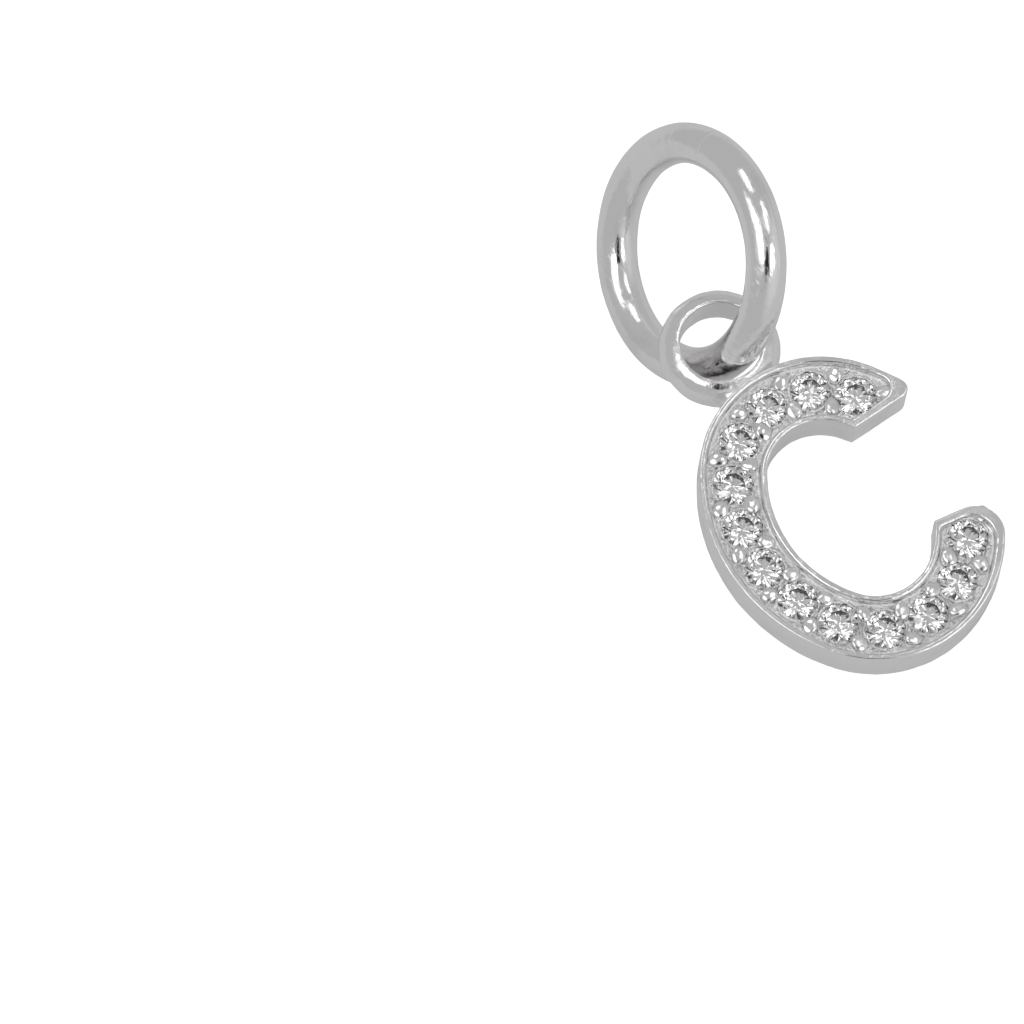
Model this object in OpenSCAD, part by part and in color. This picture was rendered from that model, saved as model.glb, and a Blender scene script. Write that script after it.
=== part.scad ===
// Initial pendant: a small cast letter C set with a row of round stones.
// It hangs by a fixed loop from a closed jump ring, and is shown lying on a table.
// The letter is drawn flat in its own frame: middle of the C at the origin, back on z = 0.
// Then the whole piece is laid down so that the ring and the letter's lower edge touch z = 0.

/* [Letter] */
// Width of the C, measured along the middle of its stroke
letter_w = 5.18; // [5:0.02:5.5]
// Height of the C, measured along the middle of its stroke
letter_h = 6.54; // [6.3:0.02:6.9]
// Width of the stroke
stroke = 1.66; // [1.6:0.02:1.9]
// Thickness from the flat back to the rim
thick = 1.3; // [1.2:0.05:1.8]
// Bevel that stands for the worn outer edge of the back
back_bevel = 0.25; // [0.1:0.05:0.35]
// Small bevel on every other long edge
edge_bevel = 0.05; // [0.02:0.01:0.08]

/* [Ends of the letter] */
// Height of the upper end's cut above the middle
head_cut = 1.6; // [1.3:0.05:1.9]
// Rounding of the upper end's outer corner
head_round = 0.25; // [0.1:0.05:0.3]
// Depth of the lower end's cut below the middle
tail_cut = 1.58; // [1.3:0.02:1.9]
// Slope of the lower end's cut, in degrees
tail_slope = 10; // [0:1:15]
// Rounding of the lower end's outer corner
tail_round = 0.7; // [0.4:0.05:0.8]
// Radius of the lower end's side, at the middle of the stroke
tail_r = 3.25; // [3:0.05:3.6]
// Radius of the lower end's outer side, which makes that end wider
flare_r = 3.35; // [3.15:0.05:3.5]

/* [Rim and floor] */
// Width of the polished rim
rim_w = 0.17; // [0.12:0.01:0.22]
// Width of the rim across the two ends
end_rim = 0.2; // [0.12:0.01:0.28]
// Depth of the rough floor below the rim
floor_depth = 0.2; // [0.12:0.01:0.28]

/* [Stones] */
// Number of stones in the row
stone_n = 13; // [11:1:13]
// Diameter of a stone
stone_d = 1; // [0.8:0.02:1.1]
// Width of the table as a share of the stone's diameter
table_share = 0.56; // [0.5:0.01:0.62]
// Height of the crown
crown_h = 0.15; // [0.12:0.01:0.18]
// Height of the girdle
girdle_h = 0.03; // [0.02:0.01:0.05]
// Depth of the pavilion
pavilion_h = 0.43; // [0.38:0.01:0.46]
// Play between a stone and its seat
stone_gap = 0.015; // [0.01:0.005:0.025]
// From the upper end's cut to the first stone's middle, along the stroke
head_space = 0.8; // [0.7:0.02:0.9]
// From the lower end's cut to the last stone's middle, along the stroke
tail_space = 0.76; // [0.7:0.02:0.9]

/* [Grains] */
// Diameter of the raised grains that hold the stones
grain_d = 0.34; // [0.26:0.02:0.38]
// Height of a grain above the floor
grain_h = 0.13; // [0.08:0.01:0.16]
// Distance of the grains from the row's middle line
grain_side = 0.38; // [0.34:0.01:0.42]

/* [Loop] */
// Thickness of the loop, from its straight inner wall to the middle of its round outer side
loop_wall = 0.48; // [0.44:0.01:0.5]
// Height of the loop's inner wall before its edges are bevelled, along the letter's thickness
loop_h = 1.09; // [1.05:0.01:1.1]
// Bevel on the edges of the inner wall
loop_bevel = 0.08; // [0.07:0.01:0.1]
// Play that the loop leaves round the ring's wire, on the diameter
loop_play = 1.02; // [1.01:0.01:1.05]
// Depth by which the loop is sunk into the top of the letter
loop_sink = 0.3; // [0.28:0.01:0.32]
// How far to the left of the letter's middle the loop sits
loop_side = 0.05; // [0:0.01:0.06]
// Radius of the fillets between the loop and the letter
neck_fillet = 0.3; // [0.2:0.05:0.4]

/* [Jump ring] */
// Outer diameter of the jump ring
ring_od = 6.52; // [6:0.02:7.5]
// Thickness of the jump ring's wire
ring_wire = 1; // [0.8:0.02:1.1]
// Width of the fine joint line round the wire
joint_w = 0.04; // [0.02:0.01:0.08]
// Depth of the joint line
joint_depth = 0.03; // [0.02:0.01:0.06]
// Place of the joint round the ring, in degrees from the loop
joint_at = 131; // [90:1:270]
// Tilt of the ring against the letter, in degrees
ring_tilt = 57.7; // [56:0.1:59]
// Way that the ring's axis leans, in degrees from the letter's right
ring_turn = 165.4; // [164:0.1:167]
// How far below the loop's middle the ring's wire passes
ring_pass = 0.36; // [0.35:0.005:0.37]
// How far to the right of the loop's middle the ring's wire passes
ring_side = 0.08; // [0.06:0.01:0.1]
// How far above the loop's middle plane the ring's wire passes
ring_rise = 0.26; // [0.24:0.01:0.28]

/* [Lying] */
// Way that the letter leans on the table, in degrees from the letter's right
lean_way = 109; // [100:1:118]

/* [Hidden] */
$fn = 96;
// A hair by which cuts run past a face, and by which roundings bite into a wall
eps = 0.01;
silver = [0.80, 0.80, 0.81];
crystal = [0.92, 0.94, 0.96];

// The stroke's middle line is a four-centre oval. Its centres lie 3 units above and below
// the middle and 4 units to its sides, so that the arcs meet on the slant of a 3-4-5 triangle
half_w = letter_w / 2;
half_h = letter_h / 2;
half_stroke = stroke / 2;
unit = (half_h - half_w) / 2;
bend_r = half_w - unit;
bend_y = 3 * unit;
side_x = 4 * unit;
side_r = bend_r + 5 * unit;
side_a = atan2(3, 4);
steep_a = 90 - side_a;
// The lower end leaves the bottom bend at the steeper slant of the same triangle
tail_c = (bend_r - tail_r) * [0.6, -0.8] - [0, bend_y];
// Its outer side leaves the bend at the very bottom
flare_c = [0, flare_r - bend_r - half_stroke - bend_y];
// Arcs as far as the very bottom, for a line that lies off outside the middle line:
// centre x, centre y, radius, first angle and sweep
function shared_arcs(off) = [
    [-side_x, 0, side_r + off, 0, side_a],
    [0, bend_y, bend_r + off, side_a, steep_a],
    [0, bend_y, bend_r + off, 90, steep_a],
    [side_x, 0, side_r + off, 180 - side_a, side_a],
    [side_x, 0, side_r + off, 180, side_a],
    [0, -bend_y, bend_r + off, 180 + side_a, steep_a]
];
arcs = concat(shared_arcs(0), [
    [0, -bend_y, bend_r, 270, side_a],
    [tail_c.x, tail_c.y, tail_r, 360 - steep_a, steep_a]
]);
outer_arcs = concat(shared_arcs(half_stroke), [[flare_c.x, flare_c.y, flare_r, 270, 90]]);
head_end = [sqrt(side_r * side_r - head_cut * head_cut) - side_x, head_cut];
tail_end = [tail_c.x + sqrt(tail_r * tail_r - pow(tail_cut + tail_c.y, 2)), -tail_cut];
least_round = 0.05;
// Metal that the outer side brings along, how much more the window cuts away,
// and how far the floor's cut runs past the rim
spare = 0.4;
floor_z = thick - floor_depth;
half_floor = half_stroke - rim_w;

// Stones are let in up to the top of their girdles
girdle_z = floor_z - girdle_h;
stone_r = stone_d / 2;
row_start = side_r * asin(head_cut / side_r) * PI / 180;
row_end = sum_to(len(arcs)) - tail_r * asin((tail_cut + tail_c.y) / tail_r) * PI / 180;
row_length = row_end - row_start;
stone_step = (row_length - head_space - tail_space) / (stone_n - 1);

// Loop and ring
half_loop = loop_h / 2;
loop_in = (ring_wire + loop_play) / 2;
loop_out = loop_in + loop_wall;
loop_at = [-loop_side, half_h + half_stroke - loop_sink + loop_out];
loop_z = thick / 2;
// The outer side is an arc through both edges of the inner wall
loop_round = (loop_wall * loop_wall + half_loop * half_loop) / (2 * loop_wall);
ring_r = (ring_od - ring_wire) / 2;
ring_axis = [sin(ring_tilt) * cos(ring_turn), sin(ring_tilt) * sin(ring_turn), cos(ring_tilt)];
ring_c = [
    loop_at.x + ring_side + ring_r * cos(ring_turn - 90),
    loop_at.y - ring_pass + ring_r * sin(ring_turn - 90),
    loop_z + ring_rise
];

// Fillets between loop and letter: where a circle touches both the loop and the top bend
bend_at = [0, bend_y];
neck_gap = norm(loop_at - bend_at);
neck_way = (loop_at - bend_at) / neck_gap;
neck_low = bend_r + half_stroke + neck_fillet;
neck_high = loop_out + neck_fillet;
neck_up = (neck_low * neck_low - neck_high * neck_high + neck_gap * neck_gap) / (2 * neck_gap);
neck_out = sqrt(neck_low * neck_low - neck_up * neck_up);
function neck_at(side) =
    bend_at + neck_up * neck_way + side * neck_out * [neck_way.y, -neck_way.x];
// The web between the fillets is lower than the loop
neck_share = 0.6;
neck_h = loop_h * neck_share;

// The table's upward direction in the letter's frame, for a lean of a degrees
function table_up(a) = [sin(a) * cos(lean_way), sin(a) * sin(lean_way), cos(a)];
// How far the letter's outer side reaches towards its lowest edge
low_way = lean_way + 180;
reach = [for (o = outer_arcs) if (o[3] <= low_way && low_way <= o[3] + o[4])
    o[0] * cos(low_way) + o[1] * sin(low_way) + o[2]][0];
function letter_low(a) = (back_bevel - reach) * sin(a);
function ring_low(a) = ring_c * table_up(a)
    - ring_r * sqrt(1 - pow(ring_axis * table_up(a), 2)) - ring_wire / 2;
// Halves the range of leans from a to b, n times, until letter and ring are equally low
function lean_in(a, b, n) = n == 0 ? (a + b) / 2
    : letter_low((a + b) / 2) > ring_low((a + b) / 2)
        ? lean_in((a + b) / 2, b, n - 1) : lean_in(a, (a + b) / 2, n - 1);
most_lean = 30;
halvings = 40;
lean = lean_in(0, most_lean, halvings);
lean_axis = [sin(lean_way), -cos(lean_way), 0];
// A point of the letter's frame, turned as the piece lies
function laid(p) = p * cos(lean) + cross(lean_axis, p) * sin(lean)
    + lean_axis * (lean_axis * p) * (1 - cos(lean));
ring_top = laid(ring_c).y + ring_r * sqrt(1 - pow(laid(ring_axis).y, 2)) + ring_wire / 2;
letter_bottom = laid([0, -half_h - half_stroke, thick - edge_bevel]).y;
lay_shift = [0, -(ring_top + letter_bottom) / 2, -ring_low(lean)];

function stone_name(i) = str("stone_", i < 10 ? "0" : "", i);
// Length of arc k, and of all arcs before arc k
function arc_length(k) = arcs[k][2] * arcs[k][4] * PI / 180;
function sum_to(k) = k == 0 ? 0 : arc_length(k - 1) + sum_to(k - 1);
// The arc that holds length s, and the place and outward angle there
function arc_at(s, k = 0) =
    k == len(arcs) - 1 || s < sum_to(k + 1) ? k : arc_at(s, k + 1);
function angle_at(s) =
    let (k = arc_at(s)) arcs[k][3] + (s - sum_to(k)) / arcs[k][2] * 180 / PI;
function place_at(s, side = 0) =
    let (k = arc_at(s), a = angle_at(s), r = arcs[k][2] + side)
    [arcs[k][0] + r * cos(a), arcs[k][1] + r * sin(a)];
// Place of stone i along the middle line
function stone_s(i) = row_start + head_space + (i - 1) * stone_step;

// A section swept along a list of arcs; its x runs outwards
module along(list) {
    for (o = list) translate([o[0], o[1], 0]) rotate([0, 0, o[3]])
        rotate_extrude(angle = o[4], $fn = 180) translate([o[2], 0]) children();
}

// A point of the letter's plane, seen from the lower end's cut with the metal above the cut
function from_tail(p) = let (v = p - tail_end) [
    v.x * cos(tail_slope) - v.y * sin(tail_slope),
    -v.x * sin(tail_slope) - v.y * cos(tail_slope)
];

// All that lies beyond one end's cut and round its outer corner, in the plane of the letter
// The cut is the line y = 0 with the metal above it; hub and radius are the outer side's arc
module past_end(hub, radius, corner, depth) {
    r = max(corner, least_round);
    mid = [hub.x + sqrt(pow(radius - r + eps, 2) - pow(r - eps - hub.y, 2)), r - eps];
    out = (mid - hub) / norm(mid - hub);
    translate([-stroke, -depth - half_stroke]) square([2 * stroke, depth + half_stroke]);
    difference() {
        polygon([mid, [mid.x, -r], [mid.x + 3 * r, -r], mid + out * (r + rim_w)]);
        translate(mid) circle(r);
    }
}

// What is cut off both ends, with the outer sides' arcs there, the cuts moved in by inset,
// and the corners' roundings smaller by less
module past_ends(head_radius, tail_hub, tail_radius, inset = 0, less = 0) {
    down = [0, inset];
    translate([0, 0, -1]) linear_extrude(thick + 2) {
        translate(head_end + down)
            past_end([-side_x, 0] - head_end - down, head_radius, head_round - less, head_cut);
        translate(tail_end) rotate(-tail_slope) mirror([0, 1]) translate(down)
            past_end(from_tail(tail_hub) - down, tail_radius, tail_round - less, tail_cut);
    }
}

module stroke_body() {
    inner = -stroke - spare;
    window = -half_stroke - 2 * spare;
    difference() {
        along(outer_arcs) polygon([
            [inner, 0], [-back_bevel, 0], [0, back_bevel],
            [0, thick - edge_bevel], [-edge_bevel, thick], [inner, thick]
        ]);
        along(arcs) polygon([
            [window, -edge_bevel], [2 * edge_bevel - half_stroke, -edge_bevel],
            [-half_stroke, edge_bevel], [-half_stroke, thick - edge_bevel],
            [2 * edge_bevel - half_stroke, thick + edge_bevel], [window, thick + edge_bevel]
        ]);
        past_ends(side_r + half_stroke, flare_c, flare_r);
    }
}

module floor_cut() {
    difference() {
        translate([0, 0, floor_z]) along(arcs)
            translate([-half_floor, 0]) square([2 * half_floor, floor_depth + spare]);
        past_ends(side_r + half_floor, tail_c, tail_r + half_floor, end_rim, end_rim + rim_w);
    }
}

module seat() {
    bore = stone_r + stone_gap;
    translate([0, 0, girdle_z - stone_gap]) cylinder(h = thick, r = bore);
    translate([0, 0, girdle_z - 2 * stone_gap - pavilion_h])
        cylinder(h = pavilion_h + stone_gap, r1 = stone_gap, r2 = bore);
}

module grain(s, side) {
    ball = grain_d / 2;
    translate(concat(place_at(s, side), floor_z + grain_h - ball)) sphere(ball, $fn = 32);
}

// Straight inner wall with bevelled edges on x = 0, and the round outer side
module loop_section() {
    intersection() {
        translate([loop_wall - loop_round, 0]) circle(loop_round);
        polygon([
            [0, loop_bevel - half_loop], [loop_bevel, -half_loop], [loop_wall + eps, -half_loop],
            [loop_wall + eps, half_loop], [loop_bevel, half_loop], [0, half_loop - loop_bevel]
        ]);
    }
}

module loop() {
    translate([loop_at.x, loop_at.y, loop_z])
        rotate_extrude() translate([loop_in, 0]) loop_section();
    translate([0, 0, loop_z - neck_h / 2]) linear_extrude(neck_h) difference() {
        polygon([neck_at(-1), loop_at, neck_at(1), [0, bend_y + bend_r]]);
        for (side = [-1, 1]) translate(neck_at(side)) circle(neck_fillet + eps);
        translate(loop_at) circle(loop_in + loop_wall / 2);
    }
}

// Lays what is drawn in the letter's frame on the table
module lie() {
    translate(lay_shift) rotate(a = lean, v = lean_axis) children();
}

module letter() {
    color(silver) lie() difference() {
        union() {
            difference() {
                union() {
                    stroke_body();
                    loop();
                }
                floor_cut();
            }
            for (i = [1:stone_n - 1], side = [-1, 1])
                grain(stone_s(i) + stone_step / 2, side * grain_side);
            grain(stone_s(1) - stone_step / 2, grain_side);
            grain(stone_s(stone_n) + stone_step / 2, grain_side);
        }
        for (i = [1:stone_n]) translate(concat(place_at(stone_s(i)), 0)) seat();
    }
}

module jump_ring() {
    color(silver) lie() translate(ring_c) rotate([0, ring_tilt, ring_turn]) difference() {
        rotate_extrude() translate([ring_r, 0]) circle(ring_wire / 2);
        rotate([0, 0, 90 + joint_at]) translate([ring_r, 0, 0]) rotate([90, 0, 0]) difference() {
            cylinder(h = joint_w, r = ring_wire, center = true);
            cylinder(h = joint_w + eps, r = ring_wire / 2 - joint_depth, center = true);
        }
    }
}

// Corners of a round brilliant: table, mid crown, both girdle edges, lower mid, point
function ring_of(n, r, z, first) = [for (k = [0:n - 1])
    [r * cos(first + k * 360 / n), r * sin(first + k * 360 / n), z]];
table_r = stone_r * table_share;
star_r = (table_r + stone_r) / 2;
star_z = girdle_h + crown_h * (stone_r - star_r * cos(22.5)) / (stone_r - table_r);
// How near to the point the lower halves reach, as a share of the radius
lower_share = 0.25;
lower_r = stone_r * lower_share;
lower_z = -pavilion_h * (1 - lower_r * cos(22.5) / stone_r);
brilliant_points = concat(
    ring_of(8, table_r, girdle_h + crown_h, 0),
    ring_of(8, star_r, star_z, 22.5),
    ring_of(16, stone_r, girdle_h, 0),
    ring_of(16, stone_r, 0, 0),
    ring_of(8, lower_r, lower_z, 22.5),
    [[0, 0, -pavilion_h]]
);
// Number of the k-th corner of each ring
function table(k) = k % 8;
function star(k) = 8 + (k + 8) % 8;
function girdle(k) = 16 + k % 16;
function under(k) = 32 + k % 16;
function lower(k) = 48 + (k + 8) % 8;
tip = 56;
brilliant_faces = concat(
    [[for (k = [7:-1:0]) table(k)]],
    [for (k = [0:7]) [table(k), table(k + 1), star(k)]],
    [for (k = [0:7]) [star(k - 1), table(k), star(k), girdle(2 * k)]],
    [for (k = [0:7]) [star(k), girdle(2 * k + 1), girdle(2 * k)]],
    [for (k = [0:7]) [star(k), girdle(2 * k + 2), girdle(2 * k + 1)]],
    [for (k = [0:15]) [girdle(k), girdle(k + 1), under(k + 1), under(k)]],
    [for (k = [0:7]) [under(2 * k), under(2 * k + 1), lower(k)]],
    [for (k = [0:7]) [under(2 * k + 1), under(2 * k + 2), lower(k)]],
    [for (k = [0:7]) [under(2 * k), lower(k), tip, lower(k - 1)]]
);

module stone(i) {
    color(crystal) lie() translate(concat(place_at(stone_s(i)), girdle_z))
        rotate([0, 0, angle_at(stone_s(i))]) polyhedron(brilliant_points, brilliant_faces);
}

letter();
jump_ring();
for (i = [1:stone_n]) stone(i);
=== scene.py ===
"""Looks of an initial pendant: a small cast silver C with a row of round stones.

It lies on white with its jump ring. The letter is shaped flat in its own frame, in millimetres, with the
middle of the C at the origin and its back on z = 0, and is then laid down as the CAD part lies.
"""

import logging
import math
from dataclasses import dataclass, field, replace
from enum import Enum, IntEnum
from itertools import product
from typing import Callable, Iterable, Sequence

import bpy
import numpy as np
from mathutils import Matrix, Vector, noise
from mathutils.geometry import delaunay_2d_cdt


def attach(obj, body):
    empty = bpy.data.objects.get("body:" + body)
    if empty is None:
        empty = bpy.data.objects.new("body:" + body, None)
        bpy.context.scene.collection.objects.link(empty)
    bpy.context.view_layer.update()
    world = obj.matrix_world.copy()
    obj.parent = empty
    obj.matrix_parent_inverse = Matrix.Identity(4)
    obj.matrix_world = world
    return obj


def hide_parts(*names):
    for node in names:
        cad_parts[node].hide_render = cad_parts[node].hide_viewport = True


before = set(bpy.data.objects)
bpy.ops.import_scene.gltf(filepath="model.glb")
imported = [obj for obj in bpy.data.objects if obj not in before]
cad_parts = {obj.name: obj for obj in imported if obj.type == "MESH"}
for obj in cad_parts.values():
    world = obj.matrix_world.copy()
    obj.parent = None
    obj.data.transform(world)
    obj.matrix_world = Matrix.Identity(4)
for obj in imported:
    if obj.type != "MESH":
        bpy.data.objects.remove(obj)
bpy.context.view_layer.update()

LOG = logging.getLogger("pendant")
MM = 0.001
BODY = "root"
Points = np.ndarray
Socket = bpy.types.NodeSocket
Thing = bpy.types.Object
Colour = tuple[float, float, float, float]
Worn = tuple[tuple[float, float], ...]
WHITE = (1, 1, 1, 1)
TINY = 1e-6


class End(Enum):
    """The two ends of the C."""

    HEAD = "head"
    TAIL = "tail"


class Facing(IntEnum):
    """Material places of the letter."""

    POLISHED = 0
    FLOOR = 1
    BEAD = 2
    SEAT = 3


def direction(azimuth: float, elevation: float) -> Vector:
    """A unit vector that points to an azimuth and elevation in degrees, azimuth 0 being -Y."""
    a, e = math.radians(azimuth), math.radians(elevation)
    return Vector((math.sin(a) * math.cos(e), -math.cos(a) * math.cos(e), math.sin(e)))


def new_mesh(
    name: str, verts: Points, faces: Iterable[Sequence[int]], slots: Sequence[int] | None = None
) -> bpy.types.Mesh:
    """Makes a smooth mesh.

    Args:
        name: the mesh's name.
        verts: its points, n by 3.
        faces: its faces as lists of point numbers.
        slots: the material place of each face.

    Returns:
        The mesh.
    """
    mesh = bpy.data.meshes.new(name)
    mesh.from_pydata(np.asarray(verts, float).tolist(), [], [list(map(int, f)) for f in faces])
    mesh.polygons.foreach_set("use_smooth", [True] * len(mesh.polygons))
    if slots is not None:
        mesh.polygons.foreach_set("material_index", list(map(int, slots)))
    mesh.update()
    return mesh


def new_object(name: str, mesh: bpy.types.Mesh) -> Thing:
    """Puts a mesh into the scene.

    Args:
        name: the object's name.
        mesh: the mesh.

    Returns:
        The new object.
    """
    thing = bpy.data.objects.new(name, mesh)
    bpy.context.scene.collection.objects.link(thing)
    return thing


def applied(thing: Thing) -> Thing:
    """Turns the result of an object's modifiers into its plain mesh.

    Args:
        thing: an object with modifiers.

    Returns:
        The same object without modifiers.
    """
    graph = bpy.context.evaluated_depsgraph_get()
    mesh = bpy.data.meshes.new_from_object(thing.evaluated_get(graph), depsgraph=graph)
    thing.modifiers.clear()
    thing.data = mesh
    return thing


def combined(target: Thing, tool: Thing, how: str) -> Thing:
    """Joins a tool to a target or cuts it out, and deletes the tool.

    Args:
        target: the object that is kept.
        tool: the object that is added or cut out.
        how: UNION or DIFFERENCE.

    Returns:
        The target with its new mesh.
    """
    step = target.modifiers.new("step", "BOOLEAN")
    step.operation = how
    step.solver = "MANIFOLD"
    step.material_mode = "TRANSFER"
    step.object = tool
    applied(target)
    bpy.data.objects.remove(tool)
    if not target.data.polygons:
        raise ValueError(f"{how} left {target.name} empty")
    return target


def hand_worn(mesh: bpy.types.Mesh, layers: Worn, seed: float = 0.0) -> None:
    """Moves every point of a mesh along its normal by soft noise, as hand work leaves metal.

    Args:
        mesh: the mesh, in millimetres.
        layers: size of the waves and most depth of each layer of noise.
        seed: moves the pattern.
    """
    count = len(mesh.vertices)
    place, normal = np.empty(count * 3), np.empty(count * 3)
    mesh.vertices.foreach_get("co", place)
    mesh.vertices.foreach_get("normal", normal)
    points = place.reshape(-1, 3)
    shift = np.zeros(count)
    for size, depth in layers:
        shift += depth * np.array([noise.noise(Vector(p)) for p in points / size + seed])
    mesh.vertices.foreach_set("co", (points + normal.reshape(-1, 3) * shift[:, None]).ravel())
    mesh.update()


def bridge(first: int, second: int, count: int) -> list[tuple[int, int, int, int]]:
    """Faces between two closed rings of points that start at the given numbers."""
    following = [(i + 1) % count for i in range(count)]
    return [(first + i, first + n, second + n, second + i) for i, n in enumerate(following)]


def lathe(profile: Sequence[tuple[float, float]], segments: int) -> tuple[Points, list[tuple[int, ...]]]:
    """Turns a profile round z; it starts and ends on the axis.

    Args:
        profile: radius and height of each point, from the bottom up, the ends on the axis.
        segments: points round the axis.

    Returns:
        Points and faces.
    """
    angles = np.arange(segments) * math.tau / segments
    round_it = np.stack([np.cos(angles), np.sin(angles), np.zeros(segments)], 1)
    middle = profile[1:-1]
    verts = [round_it * r + [0, 0, z] for r, z in middle]
    verts.append(np.array([[0, 0, profile[0][1]], [0, 0, profile[-1][1]]]))
    faces: list[tuple[int, ...]] = []
    for k in range(len(middle) - 1):
        faces += bridge(k * segments, (k + 1) * segments, segments)
    low, last = len(middle) * segments, (len(middle) - 1) * segments
    for i in range(segments):
        n = (i + 1) % segments
        faces.append((low, n, i))
        faces.append((low + 1, last + i, last + n))
    return np.concatenate(verts), faces


@dataclass(frozen=True)
class Lie:
    """How the pendant lies: the turn and shift of the letter's frame onto the table."""

    lean: float = 9.63167
    way: float = 109.0
    shift: tuple[float, float, float] = (0.0, -3.17874, 0.637321)

    def turn(self) -> Matrix:
        """The turn alone."""
        return Matrix.Rotation(math.radians(self.lean), 4, direction(self.way, 0))

    def to_table(self) -> Matrix:
        """The turn, the shift and the change to metres."""
        return Matrix.Scale(MM, 4) @ Matrix.Translation(self.shift) @ self.turn()


LIE = Lie()


def _reach(r: float, y: float) -> float:
    """How far a circle reaches sideways at a height."""
    return math.sqrt(r * r - y * y)


@dataclass(frozen=True)
class Arc:
    """An arc in plan, in millimetres and degrees."""

    x: float
    y: float
    r: float
    start: float
    end: float

    def at(self, angle: float) -> Points:
        """The point at an angle."""
        a = math.radians(angle)
        return np.array([self.x + self.r * math.cos(a), self.y + self.r * math.sin(a)])

    def angle_of(self, point: Points) -> float:
        """The angle of a point, near the arc's own angles.

        Args:
            point: a point in plan.

        Returns:
            The angle in degrees.
        """
        a = math.degrees(math.atan2(point[1] - self.y, point[0] - self.x))
        middle = (self.start + self.end) / 2
        return a + 360 * round((middle - a) / 360)

    def points(self, count: int) -> Points:
        """Even points from the start, without the end."""
        return np.array([self.at(a) for a in np.linspace(self.start, self.end, count, endpoint=False)])

    def length(self) -> float:
        """Its length."""
        return self.r * math.radians(self.end - self.start)


@dataclass(frozen=True)
class Ring:
    """One closed ring of the letter's wall: how far it lies off the middle line, and its ends."""

    outer: float
    inner: float
    flared: bool
    head_inset: float
    tail_inset: float
    head_round: float
    tail_round: float
    inner_round: float


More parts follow.
